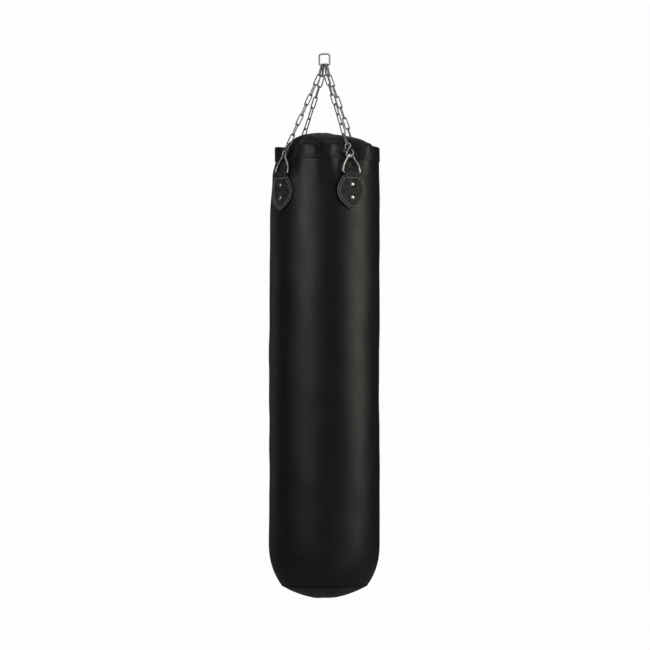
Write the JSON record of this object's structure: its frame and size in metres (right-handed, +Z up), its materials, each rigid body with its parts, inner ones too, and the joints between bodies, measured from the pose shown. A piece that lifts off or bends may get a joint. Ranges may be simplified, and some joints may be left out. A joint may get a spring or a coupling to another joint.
{
  "type": "heavy punching bag",
  "caption": "Tall black leather punching bag with a gathered top, riveted corner straps, D rings, S hooks and link chains that meet at one hanging ring.",
  "frame": {"origin": "the seat in the hanging ring where the ring rests on the hook that carries the bag", "axes": "+Z up along the bag's axis, -Y the front, +X to the right along the hanging ring's lower bar"},
  "size_m": [0.3005, 0.3074, 1.4873],
  "materials": {
    "bag_leather": "fine-grained black synthetic leather, satin",
    "strap_leather": "coarse-grained black leather, matte, grey stitching",
    "closing_cloth": "soft black lining cloth",
    "filling": "packed shredded textile",
    "chain_zinc": "zinc-plated steel wire",
    "ring_steel": "nickel-plated steel wire",
    "rivet_nickel": "polished nickel"
  },
  "bodies": {
    "hanger": {"hanging_ring": "ring_steel"},
    "bag": {"bag_shell": "bag_leather", "top_band": "bag_leather", "bottom_panel": "bag_leather", "filling": "filling", "top_cover": "closing_cloth", "closure_knot": "closing_cloth", "strap_front_left": "strap_leather", "rivet_front_left_upper": "rivet_nickel", "rivet_front_left_lower": "rivet_nickel", "strap_front_right": "strap_leather", "rivet_front_right_upper": "rivet_nickel", "rivet_front_right_lower": "rivet_nickel", "strap_back_left": "strap_leather", "rivet_back_left_upper": "rivet_nickel", "rivet_back_left_lower": "rivet_nickel", "strap_back_right": "strap_leather", "rivet_back_right_upper": "rivet_nickel", "rivet_back_right_lower": "rivet_nickel"},
    "chain_front_left_link_1": {"chain_front_left_link_1": "chain_zinc"},
    "chain_front_left_link_2": {"chain_front_left_link_2": "chain_zinc"},
    "chain_front_left_link_3": {"chain_front_left_link_3": "chain_zinc"},
    "chain_front_left_link_4": {"chain_front_left_link_4": "chain_zinc"},
    "chain_front_left_link_5": {"chain_front_left_link_5": "chain_zinc"},
    "chain_front_left_link_6": {"chain_front_left_link_6": "chain_zinc"},
    "chain_front_left_link_7": {"chain_front_left_link_7": "chain_zinc"},
    "chain_front_left_link_8": {"chain_front_left_link_8": "chain_zinc"},
    "s_hook_front_left": {"s_hook_front_left": "ring_steel"},
    "d_ring_front_left": {"d_ring_front_left": "ring_steel"},
    "chain_front_right_link_1": {"chain_front_right_link_1": "chain_zinc"},
    "chain_front_right_link_2": {"chain_front_right_link_2": "chain_zinc"},
    "chain_front_right_link_3": {"chain_front_right_link_3": "chain_zinc"},
    "chain_front_right_link_4": {"chain_front_right_link_4": "chain_zinc"},
    "chain_front_right_link_5": {"chain_front_right_link_5": "chain_zinc"},
    "chain_front_right_link_6": {"chain_front_right_link_6": "chain_zinc"},
    "chain_front_right_link_7": {"chain_front_right_link_7": "chain_zinc"},
    "chain_front_right_link_8": {"chain_front_right_link_8": "chain_zinc"},
    "s_hook_front_right": {"s_hook_front_right": "ring_steel"},
    "d_ring_front_right": {"d_ring_front_right": "ring_steel"},
    "chain_back_left_link_1": {"chain_back_left_link_1": "chain_zinc"},
    "chain_back_left_link_2": {"chain_back_left_link_2": "chain_zinc"},
    "chain_back_left_link_3": {"chain_back_left_link_3": "chain_zinc"},
    "chain_back_left_link_4": {"chain_back_left_link_4": "chain_zinc"},
    "chain_back_left_link_5": {"chain_back_left_link_5": "chain_zinc"},
    "chain_back_left_link_6": {"chain_back_left_link_6": "chain_zinc"},
    "chain_back_left_link_7": {"chain_back_left_link_7": "chain_zinc"},
    "chain_back_left_link_8": {"chain_back_left_link_8": "chain_zinc"},
    "s_hook_back_left": {"s_hook_back_left": "ring_steel"},
    "d_ring_back_left": {"d_ring_back_left": "ring_steel"},
    "chain_back_right_link_1": {"chain_back_right_link_1": "chain_zinc"},
    "chain_back_right_link_2": {"chain_back_right_link_2": "chain_zinc"},
    "chain_back_right_link_3": {"chain_back_right_link_3": "chain_zinc"},
    "chain_back_right_link_4": {"chain_back_right_link_4": "chain_zinc"},
    "chain_back_right_link_5": {"chain_back_right_link_5": "chain_zinc"},
    "chain_back_right_link_6": {"chain_back_right_link_6": "chain_zinc"},
    "chain_back_right_link_7": {"chain_back_right_link_7": "chain_zinc"},
    "chain_back_right_link_8": {"chain_back_right_link_8": "chain_zinc"},
    "s_hook_back_right": {"s_hook_back_right": "ring_steel"},
    "d_ring_back_right": {"d_ring_back_right": "ring_steel"}
  },
  "joints": [
    {"name": "bag_swing", "type": "hinge", "parent": "hanger", "child": "bag", "pos_m": [0, 0, -0.02936], "axis": [1, 0, 0], "range_deg": [-40, 40]},
    {"name": "front_left_link_1_roll", "type": "hinge", "parent": "bag", "child": "chain_front_left_link_1", "pos_m": [-0.00929, -0.0055, -0.0417], "axis": [0.1386, 0.4029, 0.9047], "range_deg": [-3, 3]},
    {"name": "front_left_link_2_roll", "type": "hinge", "parent": "bag", "child": "chain_front_left_link_2", "pos_m": [-0.01582, -0.01825, -0.07033], "axis": [0.2853, 0.3899, 0.8755], "range_deg": [-12, 12]},
    {"name": "front_left_link_3_roll", "type": "hinge", "parent": "bag", "child": "chain_front_left_link_3", "pos_m": [-0.02497, -0.03076, -0.09843], "axis": [0.2853, 0.3899, 0.8755], "range_deg": [-12, 12]},
    {"name": "front_left_link_4_roll", "type": "hinge", "parent": "bag", "child": "chain_front_left_link_4", "pos_m": [-0.03413, -0.04328, -0.12653], "axis": [0.2853, 0.3899, 0.8755], "range_deg": [-12, 12]},
    {"name": "front_left_link_5_roll", "type": "hinge", "parent": "bag", "child": "chain_front_left_link_5", "pos_m": [-0.04329, -0.05579, -0.15463], "axis": [0.2853, 0.3899, 0.8755], "range_deg": [-12, 12]},
    {"name": "front_left_link_6_roll", "type": "hinge", "parent": "bag", "child": "chain_front_left_link_6", "pos_m": [-0.05245, -0.06831, -0.18273], "axis": [0.2853, 0.3899, 0.8755], "range_deg": [-12, 12]},
    {"name": "front_left_link_7_roll", "type": "hinge", "parent": "bag", "child": "chain_front_left_link_7", "pos_m": [-0.06161, -0.08082, -0.21083], "axis": [0.2853, 0.3899, 0.8755], "range_deg": [-12, 12]},
    {"name": "front_left_link_8_roll", "type": "hinge", "parent": "bag", "child": "chain_front_left_link_8", "pos_m": [-0.07076, -0.09334, -0.23893], "axis": [0.2853, 0.3899, 0.8755], "range_deg": [-12, 12]},
    {"name": "front_left_hook_roll", "type": "hinge", "parent": "bag", "child": "s_hook_front_left", "pos_m": [-0.0868, -0.11525, -0.28813], "axis": [0.2853, 0.3899, 0.8755], "range_deg": [-10, 5]},
    {"name": "front_left_d_ring_tilt", "type": "hinge", "parent": "bag", "child": "d_ring_front_left", "pos_m": [-0.08937, -0.1186, -0.33], "axis": [0.7986, -0.6018, 0], "range_deg": [-1.5, 1.5]},
    {"name": "front_right_link_1_roll", "type": "hinge", "parent": "bag", "child": "chain_front_right_link_1", "pos_m": [0.00491, -0.0051, -0.04197], "axis": [-0.1707, 0.3695, 0.9134], "range_deg": [-3, 3]},
    {"name": "front_right_link_2_roll", "type": "hinge", "parent": "bag", "child": "chain_front_right_link_2", "pos_m": [0.01292, -0.01676, -0.0708], "axis": [-0.3461, 0.3518, 0.8697], "range_deg": [-12, 12]},
    {"name": "front_right_link_3_roll", "type": "hinge", "parent": "bag", "child": "chain_front_right_link_3", "pos_m": [0.02408, -0.02811, -0.09885], "axis": [-0.3461, 0.3518, 0.8697], "range_deg": [-12, 12]},
    {"name": "front_right_link_4_roll", "type": "hinge", "parent": "bag", "child": "chain_front_right_link_4", "pos_m": [0.03524, -0.03945, -0.1269], "axis": [-0.3461, 0.3518, 0.8697], "range_deg": [-12, 12]},
    {"name": "front_right_link_5_roll", "type": "hinge", "parent": "bag", "child": "chain_front_right_link_5", "pos_m": [0.04641, -0.0508, -0.15494], "axis": [-0.3461, 0.3518, 0.8697], "range_deg": [-12, 12]},
    {"name": "front_right_link_6_roll", "type": "hinge", "parent": "bag", "child": "chain_front_right_link_6", "pos_m": [0.05757, -0.06215, -0.18299], "axis": [-0.3461, 0.3518, 0.8697], "range_deg": [-12, 12]},
    {"name": "front_right_link_7_roll", "type": "hinge", "parent": "bag", "child": "chain_front_right_link_7", "pos_m": [0.06873, -0.07349, -0.21104], "axis": [-0.3461, 0.3518, 0.8697], "range_deg": [-12, 12]},
    {"name": "front_right_link_8_roll", "type": "hinge", "parent": "bag", "child": "chain_front_right_link_8", "pos_m": [0.07989, -0.08484, -0.23909], "axis": [-0.3461, 0.3518, 0.8697], "range_deg": [-12, 12]},
    {"name": "front_right_hook_roll", "type": "hinge", "parent": "bag", "child": "s_hook_front_right", "pos_m": [0.09939, -0.10466, -0.2881], "axis": [-0.3461, 0.3518, 0.8697], "range_deg": [-10, 5]},
    {"name": "front_right_d_ring_tilt", "type": "hinge", "parent": "bag", "child": "d_ring_front_right", "pos_m": [0.10222, -0.10772, -0.33], "axis": [0.7254, 0.6884, 0], "range_deg": [-1.5, 1.5]},
    {"name": "back_left_link_1_roll", "type": "hinge", "parent": "bag", "child": "chain_back_left_link_1", "pos_m": [-0.00514, 0.0047, -0.04208], "axis": [0.1878, -0.3404, 0.9213], "range_deg": [-3, 3]},
    {"name": "back_left_link_2_roll", "type": "hinge", "parent": "bag", "child": "chain_back_left_link_2", "pos_m": [-0.01391, 0.0154, -0.07104], "axis": [0.3772, -0.321, 0.8687], "range_deg": [-12, 12]},
    {"name": "back_left_link_3_roll", "type": "hinge", "parent": "bag", "child": "chain_back_left_link_3", "pos_m": [-0.02607, 0.02575, -0.09905], "axis": [0.3772, -0.321, 0.8687], "range_deg": [-12, 12]},
    {"name": "back_left_link_4_roll", "type": "hinge", "parent": "bag", "child": "chain_back_left_link_4", "pos_m": [-0.03823, 0.03611, -0.12707], "axis": [0.3772, -0.321, 0.8687], "range_deg": [-12, 12]},
    {"name": "back_left_link_5_roll", "type": "hinge", "parent": "bag", "child": "chain_back_left_link_5", "pos_m": [-0.0504, 0.04646, -0.15509], "axis": [0.3772, -0.321, 0.8687], "range_deg": [-12, 12]},
    {"name": "back_left_link_6_roll", "type": "hinge", "parent": "bag", "child": "chain_back_left_link_6", "pos_m": [-0.06256, 0.05681, -0.18311], "axis": [0.3772, -0.321, 0.8687], "range_deg": [-12, 12]},
    {"name": "back_left_link_7_roll", "type": "hinge", "parent": "bag", "child": "chain_back_left_link_7", "pos_m": [-0.07473, 0.06716, -0.21112], "axis": [0.3772, -0.321, 0.8687], "range_deg": [-12, 12]},
    {"name": "back_left_link_8_roll", "type": "hinge", "parent": "bag", "child": "chain_back_left_link_8", "pos_m": [-0.08689, 0.07752, -0.23914], "axis": [0.3772, -0.321, 0.8687], "range_deg": [-12, 12]},
    {"name": "back_left_hook_roll", "type": "hinge", "parent": "bag", "child": "s_hook_back_left", "pos_m": [-0.10815, 0.09561, -0.28809], "axis": [0.3772, -0.321, 0.8687], "range_deg": [-10, 5]},
    {"name": "back_left_d_ring_tilt", "type": "hinge", "parent": "bag", "child": "d_ring_back_left", "pos_m": [-0.11122, 0.0984, -0.33], "axis": [-0.6626, -0.749, 0], "range_deg": [-1.5, 1.5]},
    {"name": "back_right_link_1_roll", "type": "hinge", "parent": "bag", "child": "chain_back_right_link_1", "pos_m": [0.00887, 0.00596, -0.04158], "axis": [-0.1078, -0.4358, 0.8936], "range_deg": [-3, 3]},
    {"name": "back_right_link_2_roll", "type": "hinge", "parent": "bag", "child": "chain_back_right_link_2", "pos_m": [0.01399, 0.01984, -0.07004], "axis": [-0.2245, -0.4272, 0.8759], "range_deg": [-12, 12]},
    {"name": "back_right_link_3_roll", "type": "hinge", "parent": "bag", "child": "chain_back_right_link_3", "pos_m": [0.0212, 0.03357, -0.09818], "axis": [-0.2245, -0.4272, 0.8759], "range_deg": [-12, 12]},
    {"name": "back_right_link_4_roll", "type": "hinge", "parent": "bag", "child": "chain_back_right_link_4", "pos_m": [0.02842, 0.04729, -0.12632], "axis": [-0.2245, -0.4272, 0.8759], "range_deg": [-12, 12]},
    {"name": "back_right_link_5_roll", "type": "hinge", "parent": "bag", "child": "chain_back_right_link_5", "pos_m": [0.03563, 0.06102, -0.15446], "axis": [-0.2245, -0.4272, 0.8759], "range_deg": [-12, 12]},
    {"name": "back_right_link_6_roll", "type": "hinge", "parent": "bag", "child": "chain_back_right_link_6", "pos_m": [0.04284, 0.07474, -0.18261], "axis": [-0.2245, -0.4272, 0.8759], "range_deg": [-12, 12]},
    {"name": "back_right_link_7_roll", "type": "hinge", "parent": "bag", "child": "chain_back_right_link_7", "pos_m": [0.05006, 0.08847, -0.21075], "axis": [-0.2245, -0.4272, 0.8759], "range_deg": [-12, 12]},
    {"name": "back_right_link_8_roll", "type": "hinge", "parent": "bag", "child": "chain_back_right_link_8", "pos_m": [0.05727, 0.10219, -0.23889], "axis": [-0.2245, -0.4272, 0.8759], "range_deg": [-12, 12]},
    {"name": "back_right_hook_roll", "type": "hinge", "parent": "bag", "child": "s_hook_back_right", "pos_m": [0.06989, 0.12621, -0.28814], "axis": [-0.2245, -0.4272, 0.8759], "range_deg": [-10, 5]},
    {"name": "back_right_d_ring_tilt", "type": "hinge", "parent": "bag", "child": "d_ring_back_right", "pos_m": [0.07199, 0.12988, -0.33], "axis": [-0.8746, 0.4848, 0], "range_deg": [-1.5, 1.5]}
  ]
}
